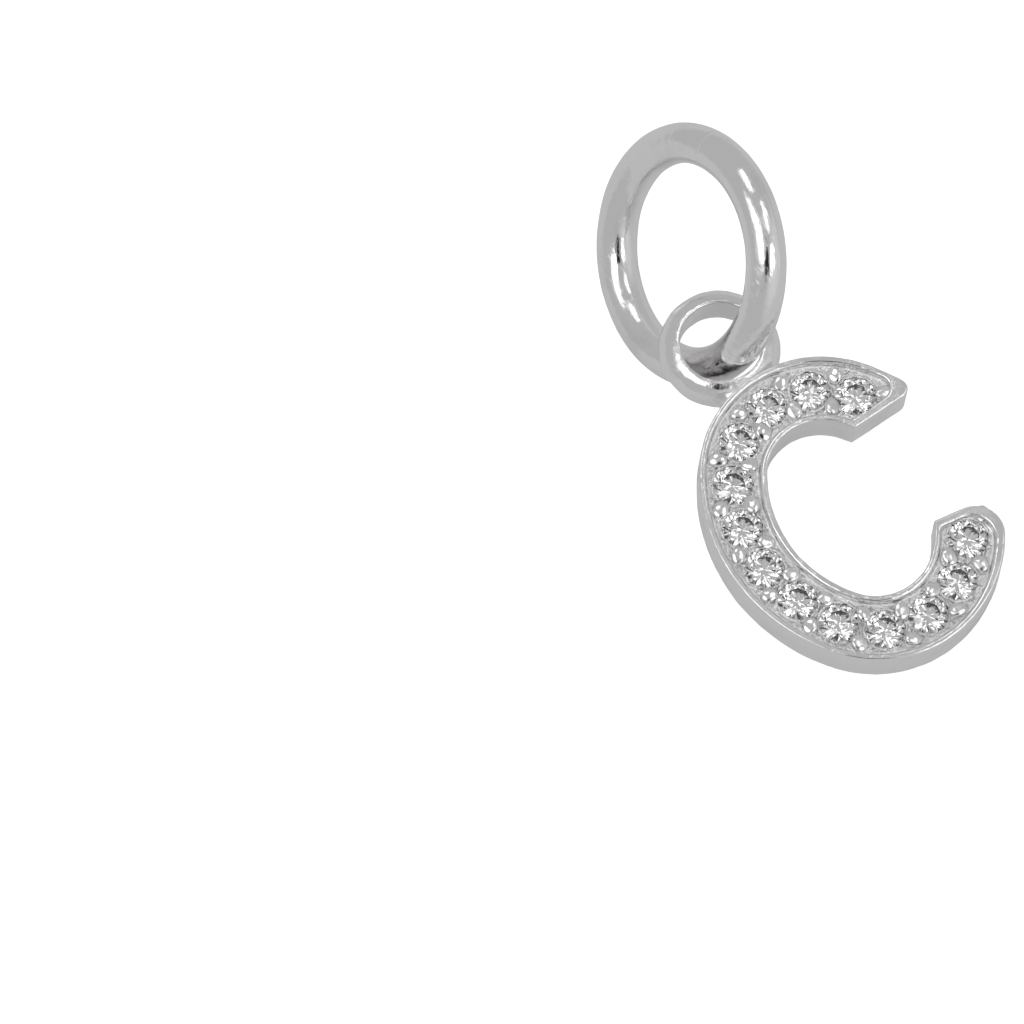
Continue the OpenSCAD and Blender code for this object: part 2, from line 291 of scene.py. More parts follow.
@dataclass
class Plan:
    """The plan of the C: a four-centre oval, cut open at the right."""

    width: float = 5.18
    height: float = 6.54
    stroke: float = 1.66
    head_cut: float = 1.6
    tail_cut: float = 1.58
    tail_slope: float = 10.0
    head_round: float = 0.25
    tail_round: float = 0.7
    inner_round: float = 0.06
    tail_r: float = 3.25
    flare_r: float = 3.35
    rim: float = 0.17
    head_rim: float = 0.25
    tail_rim: float = 0.22
    floor_head_round: float = 0.3
    floor_tail_round: float = 0.55
    floor_inner_round: float = 0.14
    least_round: float = 0.03
    stone_count: int = 13
    head_space: float = 0.8
    tail_space: float = 0.76
    side_counts: tuple[int, ...] = (18, 90, 90, 46, 32, 28)
    cut_count: int = 20
    round_count: int = 10

    def __post_init__(self) -> None:
        """Works out the centres and radii of an oval that stands on triangles with sides of 3, 4 and 5."""
        self.half = self.stroke / 2
        unit = (self.height - self.width) / 4
        self.bend_r = self.width / 2 - unit
        self.bend_y = 3 * unit
        self.side_x = 4 * unit
        self.side_r = self.bend_r + 5 * unit
        self.slant = math.degrees(math.atan2(3, 4))
        lead, slant = self.bend_r - self.tail_r, math.radians(self.slant)
        self.tail_c = np.array([math.sin(slant) * lead, -math.cos(slant) * lead - self.bend_y])
        self.flare_c = np.array([0, self.flare_r - self.bend_r - self.half - self.bend_y])
        self.head_end = np.array([_reach(self.side_r, self.head_cut) - self.side_x, self.head_cut])
        low = self.tail_cut + self.tail_c[1]
        self.tail_end = np.array([self.tail_c[0] + _reach(self.tail_r, low), -self.tail_cut])
        self.middle = self.side(0, False)
        self.row_start = self.side_r * math.asin(self.head_cut / self.side_r)
        row_end = sum(a.length() for a in self.middle) - self.tail_r * math.asin(low / self.tail_r)
        span = row_end - self.row_start - self.head_space - self.tail_space
        self.stone_step = span / (self.stone_count - 1)

    def side(self, off: float, flared: bool) -> list[Arc]:
        """The arcs of a line along the stroke.

        Args:
            off: how far it lies outside the middle line.
            flared: whether it follows the wider outer side of the lower end.

        Returns:
            Arcs from the upper end to the lower end.
        """
        s = self.slant
        arcs = [
            Arc(-self.side_x, 0, self.side_r + off, 0, s),
            Arc(0, self.bend_y, self.bend_r + off, s, 180 - s),
            Arc(self.side_x, 0, self.side_r + off, 180 - s, 180 + s),
            Arc(0, -self.bend_y, self.bend_r + off, 180 + s, 270),
        ]
        if flared:
            return arcs + [Arc(*self.flare_c, self.flare_r + off - self.half, 270, 360)]
        return arcs + [
            Arc(0, -self.bend_y, self.bend_r + off, 270, 270 + s),
            Arc(*self.tail_c, self.tail_r + off, 270 + s, 360),
        ]

    def _local(self, end: End, inset: float) -> tuple[Callable[[Points], Points], Callable[[Points], Points]]:
        """Moves points into and out of an end's frame, where its cut is y = 0 with metal above.

        Args:
            end: which end.
            inset: how far the cut is moved into the metal.

        Returns:
            The move into the frame and the move out of it.
        """
        if end is End.HEAD:
            base = self.head_end + [0, inset]
            return (lambda p: p - base), (lambda q: q + base)
        t = math.radians(self.tail_slope)
        flip = np.array([[math.cos(t), -math.sin(t)], [-math.sin(t), -math.cos(t)]])
        drop = np.array([0, inset])
        return (lambda p: flip @ (p - self.tail_end) - drop), (lambda q: flip @ (q + drop) + self.tail_end)

    def _corner(self, arc: Arc, end: End, inset: float, r: float, outer: bool) -> tuple[Points, Points]:
        """Rounds the corner between a side's arc and an end's cut.

        Args:
            arc: the side's arc at that end.
            end: which end.
            inset: how far the cut is moved into the metal.
            r: the corner's radius.
            outer: whether the side is the outer one.

        Returns:
            The points of the rounding, from the cut to the side, and the point where it meets the side.
        """
        into, out = self._local(end, inset)
        hub = into(np.array([arc.x, arc.y]))
        mid = np.array([hub[0] + _reach(arc.r - r if outer else arc.r + r, r - hub[1]), r])
        touch = hub + (mid - hub) / np.linalg.norm(mid - hub) * arc.r
        foot = np.array([mid[0], 0.0])
        a0 = math.atan2(*(foot - mid)[::-1])
        a1 = math.atan2(*(touch - mid)[::-1])
        a1 += math.tau * round((a0 - a1) / math.tau)
        turn = [a0 + (a1 - a0) * k / self.round_count for k in range(self.round_count)]
        return np.array([out(mid + r * np.array([math.cos(a), math.sin(a)])) for a in turn]), out(touch)

    @staticmethod
    def _run(arcs: list[Arc], first: Points, last: Points, counts: Sequence[int]) -> Points:
        """Points along a side from a point on its first arc to one on its last arc.

        Args:
            arcs: the arcs of the side.
            first: the point to start from.
            last: the point to stop at.
            counts: how many points each arc gets.

        Returns:
            Points, n by 2.
        """
        start = replace(arcs[0], start=arcs[0].angle_of(first))
        end = replace(arcs[-1], end=arcs[-1].angle_of(last))
        return np.concatenate([a.points(n) for a, n in zip([start, *arcs[1:-1], end], counts)])

    def outline(self, ring: Ring) -> Points:
        """The closed outline of a ring, counter-clockwise seen from above.

        Args:
            ring: its offsets and roundings.

        Returns:
            Points, n by 2, with the same n for every ring.
        """
        outer, inner = self.side(ring.outer, ring.flared), self.side(ring.inner, False)
        counts = list(self.side_counts)
        outer_counts = counts[:4] + [sum(counts[4:])] if ring.flared else counts
        head_out, head_touch = self._corner(outer[0], End.HEAD, ring.head_inset, ring.head_round, True)
        head_in, head_inner = self._corner(inner[0], End.HEAD, ring.head_inset, ring.inner_round, False)
        tail_out, tail_touch = self._corner(outer[-1], End.TAIL, ring.tail_inset, ring.tail_round, True)
        tail_in, tail_inner = self._corner(inner[-1], End.TAIL, ring.tail_inset, ring.inner_round, False)
        outer_run = self._run(outer, head_touch, tail_touch, outer_counts)
        inner_run = self._run(inner, head_inner, tail_inner, counts)
        head_in = np.concatenate([head_in, [head_inner]])
        tail_out = np.concatenate([tail_out, [tail_touch]])
        tail_in = np.concatenate([tail_in, [tail_inner]])
        cut = np.linspace(0, 1, self.cut_count, endpoint=False)[1:, None]
        head_line = head_in[0] + (head_out[0] - head_in[0]) * cut
        tail_line = tail_out[0] + (tail_in[0] - tail_out[0]) * cut
        head, tail = [head_in[::-1], head_line, head_out], [tail_out[::-1], tail_line, tail_in]
        return np.concatenate([*head, outer_run, *tail, inner_run[:0:-1]])

    def _less(self, rounds: Sequence[float], d: float) -> list[float]:
        """Roundings made smaller by d, none of them below the least."""
        return [max(r - d, self.least_round) for r in rounds]

    def wall(self, d: float) -> Points:
        """The letter's own outline, moved into the metal by d.

        Args:
            d: how far.

        Returns:
            Points, n by 2.
        """
        rounds = (self.head_round, self.tail_round, self.inner_round)
        return self.outline(Ring(self.half - d, d - self.half, True, d, d, *self._less(rounds, d)))

    def recess(self, d: float) -> Points:
        """The outline of the sunk floor, moved into the floor by d.

        Args:
            d: how far.

        Returns:
            Points, n by 2.
        """
        off = self.half - self.rim - d
        rounds = (self.floor_head_round, self.floor_tail_round, self.floor_inner_round)
        insets = (self.head_rim + d, self.tail_rim + d)
        return self.outline(Ring(off, -off, False, *insets, *self._less(rounds, d)))

    def spot(self, i: float, side: float = 0.0) -> Points:
        """The place of stone i on the middle line, counted from 1, moved outwards by side.

        Args:
            i: the stone's number; a half stands between two stones.
            side: how far it is moved.

        Returns:
            The point in plan.
        """
        s = self.row_start + self.head_space + (i - 1) * self.stone_step
        for arc in self.middle[:-1]:
            if s < arc.length():
                break
            s -= arc.length()
        else:
            arc = self.middle[-1]
        return replace(arc, r=arc.r + side).at(arc.start + math.degrees(s / arc.r))


class Tree:
    """A node tree that is written in short lines."""

    def __init__(self, tree: bpy.types.NodeTree) -> None:
        """Keeps the tree."""
        self.tree = tree

    def add(self, kind: str, settings: dict | None = None, **values: object) -> bpy.types.Node:
        """Adds a node.

        Args:
            kind: its type.
            settings: its properties.
            values: its inputs by name, with _ for a space, or by number after an i; a socket is linked,
                anything else is set.

        Returns:
            The node.
        """
        node = self.tree.nodes.new(kind)
        for key, value in (settings or {}).items():
            setattr(node, key, value)
        for key, value in values.items():
            numbered = key[0] == "i" and key[1:].isdigit()
            self.feed(node, int(key[1:]) if numbered else key.replace("_", " "), value)
        return node

    def feed(self, node: bpy.types.Node, name: str | int, value: object) -> None:
        """Sets or links one input of a node.

        Args:
            node: the node.
            name: the input's name or number.
            value: a socket or a plain value.
        """
        if isinstance(value, Socket):
            self.tree.links.new(value, node.inputs[name])
        else:
            node.inputs[name].default_value = value

    def math(self, how: str, a: object, b: object = 0.0) -> Socket:
        """A Math node's result."""
        return self.add("ShaderNodeMath", {"operation": how}, i0=a, i1=b).outputs[0]

    def dot(self, a: object, b: object) -> Socket:
        """The dot product of two directions."""
        return self.add("ShaderNodeVectorMath", {"operation": "DOT_PRODUCT"}, i0=a, i1=b).outputs["Value"]

    def ramp(self, value: object, span: tuple[float, float], to: tuple[float, float] = (0.0, 1.0)) -> Socket:
        """A smooth change from one value to another while value goes through a span.

        Args:
            value: the socket that changes.
            span: where the change starts and ends.
            to: the two values.

        Returns:
            The changed value.
        """
        node = self.add(
            "ShaderNodeMapRange", {"interpolation_type": "SMOOTHSTEP"},
            i0=value, i1=span[0], i2=span[1], i3=to[0], i4=to[1],
        )
        return node.outputs[0]

    def blend(self, factor: object, a: Colour, b: Colour) -> Socket:
        """A mix of two colours."""
        return self.add("ShaderNodeMix", {"data_type": "RGBA"}, i0=factor, i6=a, i7=b).outputs[2]

    def noise(self, where: object, scale: float, detail: float = 2.0, rough: float = 0.5) -> Socket:
        """A noise pattern's value."""
        node = self.add("ShaderNodeTexNoise", Vector=where, Scale=scale, Detail=detail, Roughness=rough)
        return node.outputs[0]

    def stretched(self, where: object, size: Sequence[float], turn: float = 0.0) -> Socket:
        """Coordinates that are scaled and turned about z."""
        turned = (0, 0, math.radians(turn))
        return self.add("ShaderNodeMapping", Vector=where, Scale=size, Rotation=turned).outputs[0]

    def drawn_by(self, seed: object, kind: str, **limits: object) -> bpy.types.Node:
        """A random value of a kind within limits, drawn by a seed."""
        return self.add("FunctionNodeRandomValue", {"data_type": kind}, Seed=seed, **limits)

    def noted(self, thing: Socket, name: str, value: Socket, kind: str = "FLOAT") -> Socket:
        """Stores a value on the points of a curve or mesh under a name.

        Args:
            thing: the curve or mesh.
            name: the name.
            value: the value.
            kind: the type of the value.

        Returns:
            The curve or mesh with it.
        """
        how = {"data_type": kind, "domain": "POINT"}
        node = self.add("GeometryNodeStoreNamedAttribute", how, Geometry=thing, Name=name, Value=value)
        return node.outputs[0]

    def read(self, name: str) -> Socket:
        """A number that was stored under a name."""
        node = self.add("GeometryNodeInputNamedAttribute", {"data_type": "FLOAT"}, Name=name)
        return node.outputs["Attribute"]

    def circle(self, points: int, radius: object) -> Socket:
        """A circle as a curve."""
        return self.add("GeometryNodeCurvePrimitiveCircle", Resolution=points, Radius=radius).outputs[0]

    def dressed(self, mesh: Socket, finish: Socket, out: bpy.types.Node) -> None:
        """Shades a mesh smooth, gives it its finish and hands it out of the group.

        Args:
            mesh: the mesh.
            finish: its material.
            out: the group's output node.
        """
        smooth = self.add("GeometryNodeSetShadeSmooth", Geometry=mesh)
        last = self.add("GeometryNodeSetMaterial", Geometry=smooth.outputs[0], Material=finish)
        self.feed(out, 0, last.outputs[0])

    def set_out(
        self, places: Socket, piece: Socket, finish: Socket, out: bpy.types.Node, **pose: object
    ) -> None:
        """Sets a piece on every place as real geometry, dresses it and hands it out of the group.

        Args:
            places: a mesh whose points are the places.
            piece: the piece.
            finish: its material.
            out: the group's output node.
            pose: the turn and size of each piece.
        """
        points = self.add("GeometryNodeMeshToPoints", Mesh=places).outputs[0]
        placed = self.add("GeometryNodeInstanceOnPoints", Points=points, Instance=piece, **pose)
        real = self.add("GeometryNodeRealizeInstances", Geometry=placed.outputs[0])
        self.dressed(real.outputs[0], finish, out)


def new_group(name: str, kind: str, inputs: dict[str, object], outputs: dict[str, str]) -> tuple:
    """Starts a node group with named sockets.

    Args:
        name: its name.
        kind: the type of its tree.
        inputs: the first value of each input, or the type of a socket that has none.
        outputs: the type of each output.

    Returns:
        Its tree, its sockets that come in, by name, and its output node.
    """
    group = bpy.data.node_groups.new(name, kind)
    for label, value in inputs.items():
        bare = isinstance(value, str)
        what = value if bare else "Int" if isinstance(value, int) else "Float"
        socket = group.interface.new_socket(name=label, in_out="INPUT", socket_type="NodeSocket" + what)
        if not bare:
            socket.default_value = value
    for label, what in outputs.items():
        group.interface.new_socket(name=label, in_out="OUTPUT", socket_type="NodeSocket" + what)
    return Tree(group), group.nodes.new("NodeGroupInput").outputs, group.nodes.new("NodeGroupOutput")


def grown(thing: Thing, group: bpy.types.NodeTree, finish: bpy.types.Material) -> Thing:
    """Runs a node tree on an object and keeps its result as a plain mesh.

    Args:
        thing: the object.
        group: the node tree.
        finish: the material for its input of that name.

    Returns:
        The same object with its new mesh.
    """
    step = thing.modifiers.new("grow", "NODES")
    step.node_group = group
    for item in group.interface.items_tree:
        if item.in_out == "INPUT" and item.name == "Finish":
            step[item.identifier] = finish
    return applied(thing)


def new_material(name: str) -> tuple[bpy.types.Material, Tree, bpy.types.Node]:
    """Starts a material.

    Args:
        name: its name.

    Returns:
        The material, its tree and its Principled node.
    """
    material = bpy.data.materials.new(name)
    material.use_nodes = True
    return material, Tree(material.node_tree), material.node_tree.nodes["Principled BSDF"]


@dataclass(frozen=True)
class Handling:
    """The traces that polishing and handling leave on silver, one node group for all its finishes."""

    wave_scale: float = 900.0
    ripple_scale: float = 2600.0
    ripple_share: float = 0.3
    scratch_turns: tuple[float, ...] = (18.0, 77.0, 141.0)
    scratch_size: tuple[float, float, float] = (60000.0, 2500.0, 9000.0)
    scratch_span: tuple[float, float] = (0.60, 0.72)
    patch_scale: float = 1400.0
    patch_span: tuple[float, float] = (0.42, 0.66)
    grain_rough: float = 0.6
    thin_scale: float = 1900.0
    thin_span: tuple[float, float] = (0.30, 0.62)
    thinnest: float = 0.35
    tarnish_scale: float = 700.0
    tarnish_span: tuple[float, float] = (0.50, 0.80)

    def group(self) -> bpy.types.NodeTree:
        """Builds the node group.

        Returns:
            The node tree.
        """
        inputs = {"Where": "Vector", "Grain Where": "Vector", "Wave": 0.0, "Grit": 0.0, "Scratch": 0.0}
        outputs = {"Height": "Float", "Dulling": "Float", "Tarnish": "Float"}
        tree, given, out = new_group("handling_marks", "ShaderNodeTree", inputs, outputs)
        where = given["Where"]
        ripple = tree.math("MULTIPLY", tree.noise(where, self.ripple_scale, 2.0), self.ripple_share)
        waves = tree.math("ADD", tree.noise(where, self.wave_scale, 1.0), ripple)
        scratch: object = 0.0
        for turn in self.scratch_turns:
            fine = tree.noise(tree.stretched(where, self.scratch_size, turn), 1.0, 2.0, self.grain_rough)
            scratch = tree.math("MAXIMUM", scratch, tree.ramp(fine, self.scratch_span))
        patchy = tree.ramp(tree.noise(where, self.patch_scale, 3.0), self.patch_span)
        scratch = tree.math("MULTIPLY", scratch, patchy)
        thin = tree.ramp(tree.noise(where, self.thin_scale, 2.0), self.thin_span, (self.thinnest, 1.0))
        grit = tree.math("MULTIPLY", tree.noise(given["Grain Where"], 1.0, 3.0, self.grain_rough), thin)
        high, gritty, scored = (
            tree.math("MULTIPLY", value, given[name])
            for value, name in ((waves, "Wave"), (grit, "Grit"), (scratch, "Scratch"))
        )
        tree.feed(out, "Height", tree.math("SUBTRACT", tree.math("ADD", high, gritty), scored))
        tree.feed(out, "Dulling", tree.math("MAXIMUM", patchy, scratch))
        stain = tree.noise(where, self.tarnish_scale, 4.0, self.grain_rough)
        tree.feed(out, "Tarnish", tree.ramp(stain, self.tarnish_span))
        return tree.tree


@dataclass(frozen=True)
class Silver:
    """Bright silver with fine marks of handling."""

    name: str
    marks: bpy.types.NodeTree
    clean: Colour = (0.88, 0.872, 0.874, 1)
    worn: Colour = (0.80, 0.79, 0.79, 1)
    smooth: float = 0.05
    dull: float = 0.13
    wave: float = 12.0
    grit: float = 5.0
    scratch: float = 1.6
    grit_scale: tuple[float, float, float] = (22000.0, 22000.0, 22000.0)
    grit_from: str = ""
    micron: float = 0.000001

    def material(self) -> bpy.types.Material:
        """Builds the finish.

        Returns:
            The material.
        """
        material, tree, shader = new_material(self.name)
        where = tree.add("ShaderNodeTexCoord").outputs["Object"]
        grain = where
        if self.grit_from:
            grain = tree.add("ShaderNodeAttribute", {"attribute_name": self.grit_from}).outputs["Vector"]
        marks = tree.add(
            "ShaderNodeGroup", {"node_tree": self.marks}, Where=where, Wave=self.wave, Grit=self.grit,
            Scratch=self.scratch, Grain_Where=tree.stretched(grain, self.grit_scale),
        ).outputs
        tree.feed(shader, "Metallic", 1.0)
        tree.feed(shader, "Base Color", tree.blend(marks["Tarnish"], self.clean, self.worn))
        tree.feed(shader, "Roughness", tree.ramp(marks["Dulling"], (0, 1), (self.smooth, self.dull)))
        bump = tree.add("ShaderNodeBump", Strength=1.0, Distance=self.micron, Height=marks["Height"])
        tree.feed(shader, "Normal", bump.outputs[0])
        return material


@dataclass(frozen=True)
class ClearStone:
    """A clear cut stone of high refraction with faint polishing lines."""

    name: str = "clear_stone_finish"
    ior: float = 2.25
    tint: Colour = WHITE
    cloud: Colour = (0.975, 0.975, 0.98, 1)
    cloud_scale: float = 1500.0
    cloud_span: tuple[float, float] = (0.45, 0.75)
    dust_scale: float = 9000.0
    dust_span: tuple[float, float] = (0.66, 0.74)
    dust_rough: float = 0.06
    line_size: tuple[float, float, float] = (30000.0, 3000.0, 3000.0)
    line_turn: float = 33.0
    line_depth: float = 0.000002
    line_share: float = 0.25

    def material(self) -> bpy.types.Material:
        """Builds the finish.

        Returns:
            The material.
        """
        material, tree, shader = new_material(self.name)
        where = tree.add("ShaderNodeTexCoord").outputs["Object"]
        tree.feed(shader, "Transmission Weight", 1.0)
        tree.feed(shader, "IOR", self.ior)
        veil = tree.ramp(tree.noise(where, self.cloud_scale, 3.0), self.cloud_span)
        tree.feed(shader, "Base Color", tree.blend(veil, self.tint, self.cloud))
        dust = tree.ramp(tree.noise(where, self.dust_scale, 2.0), self.dust_span)
        tree.feed(shader, "Roughness", tree.ramp(dust, (0, 1), (0.0, self.dust_rough)))
        lines = tree.noise(tree.stretched(where, self.line_size, self.line_turn), 1.0, 2.0)
        bump = tree.add("ShaderNodeBump", Strength=self.line_share, Distance=self.line_depth, Height=lines)
        tree.feed(shader, "Normal", bump.outputs[0])
        return material


@dataclass
class Loop:
    """The fixed loop at the top of the letter, straight inside and round outside, melted into the letter."""

    plan: Plan
    inner_r: float = 1.01
    wall: float = 0.48
    height: float = 1.09
    inner_edge: float = 0.05
    sink: float = 0.3
    aside: float = 0.05
    middle_z: float = 0.65
    web_low: float = 2.6
    web_sink: float = 0.02
    web_z: tuple[float, float] = (0.3, 1.0)
    web_x: float = 1.45
    web_edge: float = 0.1
    melt: float = 0.22
    pitch: float = 0.034
    margin: float = 0.12
    grid_low: float = 1.6
    worn: Worn = ((0.5, 0.014), (0.16, 0.006), (0.08, 0.002))
    worn_seed: float = 3.0

    def __post_init__(self) -> None:
        """Works out where the loop sits."""
        self.outer_r = self.inner_r + self.wall
        self.round = (self.wall ** 2 + (self.height / 2) ** 2) / (2 * self.wall)
        self.top = self.plan.bend_y + self.plan.bend_r + self.plan.half
        self.middle_y = self.top - self.sink + self.outer_r

    @staticmethod
    def _rounded(sides: Points, edge: float) -> Points:
        """Distances from what lies inside all sides, with its edges rounded."""
        q = sides + edge
        return np.linalg.norm(np.maximum(q, 0), axis=0) + np.minimum(q.max(0), 0) - edge

    def _block(self, spans: Sequence[tuple[Points, float, float]], edge: float) -> Points:
        """Distances from a block between pairs of limits, with rounded edges."""
        return self._rounded(np.stack([np.abs(v - (a + b) / 2) - (b - a) / 2 for v, a, b in spans]), edge)

    def depth(self, p: Points) -> Points:
        """How far points lie outside the loop melted into the letter's top.

        Args:
            p: points, n by 3.

        Returns:
            Distances, below zero inside.
        """
        x, y, z = p[:, 0], p[:, 1], p[:, 2]
        off = np.hypot(x + self.aside, y - self.middle_y)
        outside = np.hypot(off - self.outer_r + self.round, z - self.middle_z) - self.round
        inside = self.inner_r - off
        band = self._rounded(np.stack([outside, inside]), self.inner_edge)
        round_bend = np.hypot(x, y - self.plan.bend_y)
        top = self.top - self.plan.bend_y - self.web_sink
        spans = [(round_bend, self.web_low, top), (z, *self.web_z), (x + self.aside, -self.web_x, self.web_x)]
        web = self._block(spans, self.web_edge)
        near = np.maximum(self.melt - np.abs(band - web), 0) / self.melt
        melted = np.minimum(band, web) - near * near * self.melt / 4
        return np.maximum(melted, inside)

    def build(self) -> Thing:
        """Builds the loop as one closed skin over a fine grid.

        Returns:
            The loop, in the letter's frame.
        """
        reach = max(self.outer_r, self.web_x) + self.aside + self.margin
        rise = self.height / 2 + self.margin
        low = np.array([-reach, self.plan.bend_y + self.grid_low, self.middle_z - rise])
        high = np.array([reach, self.middle_y + reach, self.middle_z + rise])
        verts, faces = skin(self.depth, low, high, self.pitch)
        mesh = new_mesh("loop", verts, faces)
        hand_worn(mesh, self.worn, self.worn_seed)
        return new_object("loop", mesh)


def skin(
    depth: Callable[[Points], Points], low: Points, high: Points, pitch: float,
    rounds: int = 4, probe: float = 0.05,
) -> tuple[Points, Points]:
    """Covers a shape that is given by its depth function with even faces.

    Args:
        depth: distances of points from the surface, below zero inside.
        low: lowest corner of the space.
        high: highest corner of the space.
        pitch: size of a grid cell.
        rounds: how often the points are moved to the surface.
        probe: share of a cell over which the slope is measured.

    Returns:
        Points and four-sided faces.
    """
    sizes = np.ceil((high - low) / pitch).astype(int) + 1
    grid = np.stack(np.meshgrid(*[np.arange(n) for n in sizes], indexing="ij"), -1)
    inside = (depth((grid.reshape(-1, 3) * pitch + low)) < 0).reshape(sizes)
    cells = np.zeros(sizes - 1, int)
    for corner in product((0, 1), repeat=3):
        cells += inside[tuple(slice(c, n - 1 + c) for c, n in zip(corner, sizes))]
    active = (cells > 0) & (cells < 2 ** 3)
    number = np.full(active.shape, -1)
    number[active] = np.arange(active.sum())
    verts = (np.argwhere(active) + 0.5) * pitch + low
    h = pitch * probe
    for _ in range(rounds):
        value = depth(verts)
        slope = np.stack([(depth(verts + h * e) - depth(verts - h * e)) / (2 * h) for e in np.eye(3)], 1)
        verts = verts - slope * (value / np.maximum((slope ** 2).sum(1), TINY))[:, None]
    faces = []
    for axis in range(3):
        u, v = (axis + 1) % 3, (axis + 2) % 3
        a = np.moveaxis(inside, (axis, u, v), (0, 1, 2))
        n = np.moveaxis(number, (axis, u, v), (0, 1, 2))
        for i, j, k in np.argwhere(a[:-1, 1:-1, 1:-1] != a[1:, 1:-1, 1:-1]):
            quad = [n[i, j, k], n[i, j + 1, k], n[i, j + 1, k + 1], n[i, j, k + 1]]
            faces.append(quad if a[i, j + 1, k + 1] else quad[::-1])
    return verts, np.array(faces)


@dataclass
class Beads:
    """The raised grains that hold the stones, set by a node tree on their places."""

    plan: Plan
    radius: float = 0.23
    flatness: float = 0.3
    narrow: float = 0.82
    rise: float = 0.13
    side: float = 0.385
    spread: float = 0.08
    lean: float = 11.0
    fineness: int = 4
    seed: int = 4
    worn: Worn = ((0.3, 0.02), (0.08, 0.004))
    worn_seed: float = 7.0

    def places(self, floor_z: float) -> Points:
        """The middles of the grains.

        Args:
            floor_z: height of the letter's floor.

        Returns:
            Points, n by 3.
        """
        last = self.plan.stone_count
        spots = [(i + 0.5, side) for i in range(1, last) for side in (-self.side, self.side)]
        spots += [(0.5, self.side), (last + 0.5, self.side)]
        height = floor_z + self.rise - self.radius * self.flatness
        return np.array([(*self.plan.spot(i, side), height) for i, side in spots])

    def tree(self) -> bpy.types.NodeTree:
        """Builds the node tree that puts a grain on each point.

        Returns:
            The node tree.
        """
        inputs = {
            "Places": "Geometry", "Grain radius": self.radius, "Smallest": 1 - self.spread,
            "Largest": 1 + self.spread, "Flatness": self.flatness, "Narrowness": self.narrow,
            "Seed": self.seed, "Finish": "Material",
        }
        tree, given, out = new_group("grains_on_points", "GeometryNodeTree", inputs, {"Grains": "Geometry"})
        ball = tree.add("GeometryNodeMeshIcoSphere", Radius=given["Grain radius"], Subdivisions=self.fineness)
        flat = tree.add("ShaderNodeCombineXYZ", X=1.0, Y=given["Narrowness"], Z=given["Flatness"])
        dome = tree.add("GeometryNodeTransform", Geometry=ball.outputs[0], Scale=flat.outputs[0])
        lean = math.radians(self.lean)
        spin = tree.drawn_by(given["Seed"], "FLOAT_VECTOR", i0=(-lean, -lean, 0), i1=(lean, lean, math.tau))
        size = tree.drawn_by(given["Seed"], "FLOAT", i2=given["Smallest"], i3=given["Largest"])
        pose = {"Rotation": spin.outputs[0], "Scale": size.outputs[1]}
        tree.set_out(given["Places"], dome.outputs[0], given["Finish"], out, **pose)
        return tree.tree

    def build(self, floor_z: float, finish: bpy.types.Material) -> Thing:
        """Builds all the grains as one mesh.

        Args:
            floor_z: height of the letter's floor.
            finish: their material.

        Returns:
            The grains.
        """
        thing = new_object("grains", new_mesh("grains", self.places(floor_z), []))
        grown(thing, self.tree(), finish)
        hand_worn(thing.data, self.worn, self.worn_seed)
        return thing


@dataclass
class Burrs:
    """The thin uneven collars of metal that are pushed over the stones' edges, set by a node tree."""

    plan: Plan
    radius: float = 0.517
    thickness: float = 0.036
    uneven: float = 1.7
    wander: float = 0.07
    wander_scale: float = 6.0
    ragged_scale: float = 9.0
    ragged_gain: float = 4.0
    least: float = 0.25
    rise: float = 0.012
    around: int = 96
    across: int = 10
    seed: int = 9

    def tree(self) -> bpy.types.NodeTree:
        """Builds the node tree that puts a collar on each point.

        Returns:
            The node tree.
        """
        inputs = {
            "Places": "Geometry", "Collar radius": self.radius, "Thickness": self.thickness,
            "Unevenness": self.uneven, "Wander": self.wander, "Seed": self.seed, "Finish": "Material",
        }
        tree, given, out = new_group("collars_on_points", "GeometryNodeTree", inputs, {"Collars": "Geometry"})
        where = tree.add("GeometryNodeInputPosition").outputs[0]
        stray = tree.add("ShaderNodeTexNoise", Vector=where, Scale=self.wander_scale, Detail=1.0)
        how = {"operation": "SUBTRACT"}
        centred = tree.add("ShaderNodeVectorMath", how, i0=stray.outputs["Color"], i1=(0.5, 0.5, 0.5))
        how = {"operation": "SCALE"}
        offset = tree.add("ShaderNodeVectorMath", how, i0=centred.outputs[0], Scale=given["Wander"])
        path = tree.circle(self.around, given["Collar radius"])
        path = tree.add("GeometryNodeSetPosition", Geometry=path, Offset=offset.outputs[0]).outputs[0]
        ragged = tree.math("SUBTRACT", tree.noise(where, self.ragged_scale, 2.0), 0.5)
        ragged = tree.math("MULTIPLY", tree.math("MULTIPLY", ragged, self.ragged_gain), given["Unevenness"])
        scale = tree.math("MAXIMUM", tree.math("ADD", 1.0, ragged), self.least)
        profile = tree.circle(self.across, given["Thickness"])
        tube = tree.add("GeometryNodeCurveToMesh", Curve=path, Profile_Curve=profile, Scale=scale)
        spin = tree.drawn_by(given["Seed"], "FLOAT_VECTOR", i0=(0, 0, 0), i1=(0, 0, math.tau))
        tree.set_out(given["Places"], tube.outputs[0], given["Finish"], out, Rotation=spin.outputs[0])
        return tree.tree

    def build(self, floor_z: float, finish: bpy.types.Material) -> Thing:
        """Builds all the collars as one mesh.

        Args:
            floor_z: height of the letter's floor.
            finish: their material.

        Returns:
            The collars.
        """
        row = range(1, self.plan.stone_count + 1)
        places = np.array([(*self.plan.spot(i), floor_z + self.rise) for i in row])
        return grown(new_object("collars", new_mesh("collars", places, [])), self.tree(), finish)


